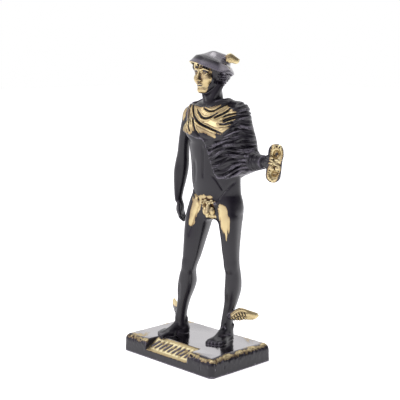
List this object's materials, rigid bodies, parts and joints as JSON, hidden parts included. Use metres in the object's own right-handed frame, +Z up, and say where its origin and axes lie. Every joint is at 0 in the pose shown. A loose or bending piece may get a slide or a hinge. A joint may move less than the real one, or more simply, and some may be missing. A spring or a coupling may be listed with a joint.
{
  "type": "mercury statuette",
  "caption": "Cast brass souvenir statuette of a young god in a winged hat and short cloak, with a herald's wand and winged ankles, standing on an oblong plinth.",
  "frame": {"origin": "centre of the plinth's underside", "axes": "+Z up to the top of the hat, -Y towards the plinth's front side with the sloping panel, +X towards the figure's left hand with the wand"},
  "size_m": [0.0893, 0.0442, 0.1607],
  "materials": {
    "patinated_brass": "cast brass under a glossy black patina, rubbed bright on the face, chest drapery, wings, wand, thighs, plinth rim and panel"
  },
  "bodies": {
    "root": {"mercury_statuette": "patinated_brass"}
  },
  "joints": []
}
